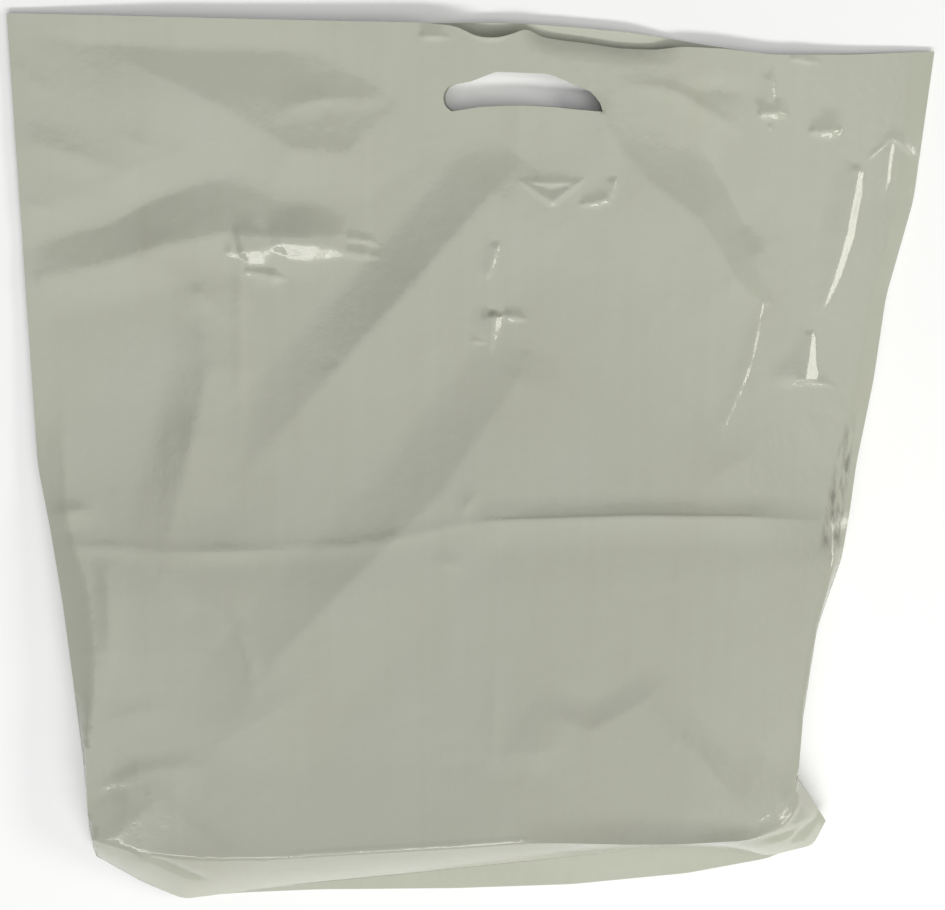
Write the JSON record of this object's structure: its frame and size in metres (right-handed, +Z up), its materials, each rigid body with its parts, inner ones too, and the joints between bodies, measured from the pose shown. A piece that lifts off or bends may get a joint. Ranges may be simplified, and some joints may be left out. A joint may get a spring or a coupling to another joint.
{
  "type": "plastic carrier bag",
  "caption": "Punched-handle carrier bag of thin grey plastic film with a bottom gusset, empty and creased, lying flat on its back panel.",
  "frame": {"origin": "on the resting plane, under the middle of the bag's bounding box", "axes": "+Z up from the floor to the front panel, +Y from the bottom gusset towards the mouth, +X to the right seen from above with the mouth at the far side"},
  "size_m": [0.5084, 0.5196, 0.0454],
  "materials": {
    "grey_film": "thin glossy creased film"
  },
  "bodies": {
    "root": {"carrier_bag": "grey_film"}
  },
  "joints": []
}
